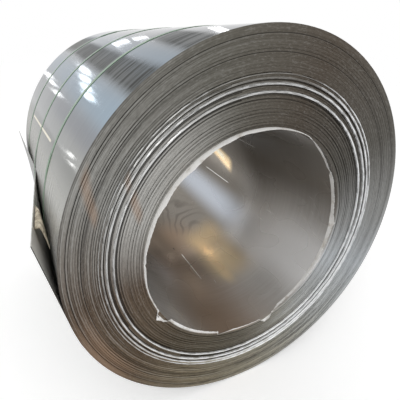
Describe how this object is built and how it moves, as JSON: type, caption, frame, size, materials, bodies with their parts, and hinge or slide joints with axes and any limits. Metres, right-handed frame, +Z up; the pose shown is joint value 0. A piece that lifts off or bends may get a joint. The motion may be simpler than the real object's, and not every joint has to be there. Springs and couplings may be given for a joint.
{
  "type": "stainless steel coil",
  "caption": "Coil of stainless steel strip lying on its side, with an open bore, stepped laps on its ends, plastic bands, torn interleaving paper and a loose outer end.",
  "frame": {"origin": "on the axis of the bore, half way along the strip's width", "axes": "Y runs along the bore, -Y out of the front end, +Z up as the coil lies"},
  "size_m": [0.8545, 0.9375, 0.8363],
  "materials": {
    "stainless_strip": "bright cold rolled faces, dull slit edges",
    "green_band": "embossed plastic strapping, satin",
    "white_paper": "matt torn paper",
    "beige_paper": "matt torn paper, soiled"
  },
  "bodies": {
    "root": {"coil": "stainless_strip", "band_front": "green_band", "band_middle": "green_band", "band_back": "green_band", "bore_paper": "white_paper", "torn_paper": "beige_paper"}
  },
  "joints": []
}
